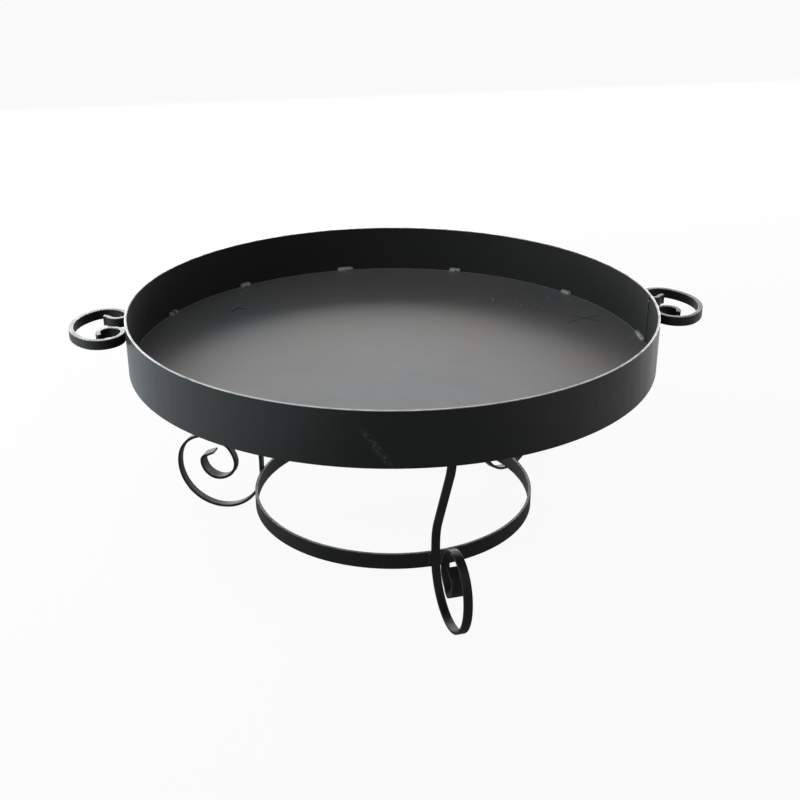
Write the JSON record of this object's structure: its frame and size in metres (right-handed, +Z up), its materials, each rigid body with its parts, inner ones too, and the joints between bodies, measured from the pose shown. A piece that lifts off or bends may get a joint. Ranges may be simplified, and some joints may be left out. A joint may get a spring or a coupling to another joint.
{
  "type": "fire bowl",
  "caption": "Shallow round steel fire bowl with two scrolled handles, lifting off a stand of three scrolled legs joined by a hoop.",
  "frame": {"origin": "on the ground, under the middle of the pan, at the bottom centre of the whole object's box", "axes": "+X through the right-hand handle, +Y towards the back, +Z up; the two handles lie on the X axis"},
  "size_m": [0.847, 0.7, 0.343],
  "materials": {
    "pan_paint": "satin black heat-proof paint on rolled sheet",
    "pan_floor_paint": "satin black heat-proof paint, a little dusty, on flat sheet",
    "bar_paint": "satin black heat-proof paint on hot-rolled flat bar",
    "weld": "painted weld, rubbed paler on its crown"
  },
  "bodies": {
    "stand": {"stand_ring": "bar_paint", "stand_ring_seam_weld": "weld", "leg_front": "bar_paint", "leg_right": "bar_paint", "leg_left": "bar_paint", "leg_front_ring_welds": "weld", "leg_right_ring_welds": "weld", "leg_left_ring_welds": "weld"},
    "pan": {"pan_wall": "pan_paint", "pan_floor": "pan_floor_paint", "pan_wall_seam_weld": "weld", "pan_floor_tack_welds": "weld", "handle_right": "bar_paint", "handle_left": "bar_paint", "handle_right_front_weld": "weld", "handle_right_rear_weld": "weld", "handle_left_front_weld": "weld", "handle_left_rear_weld": "weld"}
  },
  "joints": [
    {"name": "pan_lift", "type": "slide", "parent": "stand", "child": "pan", "axis": [0, 0, 1], "range_m": [0, 0.3]}
  ]
}
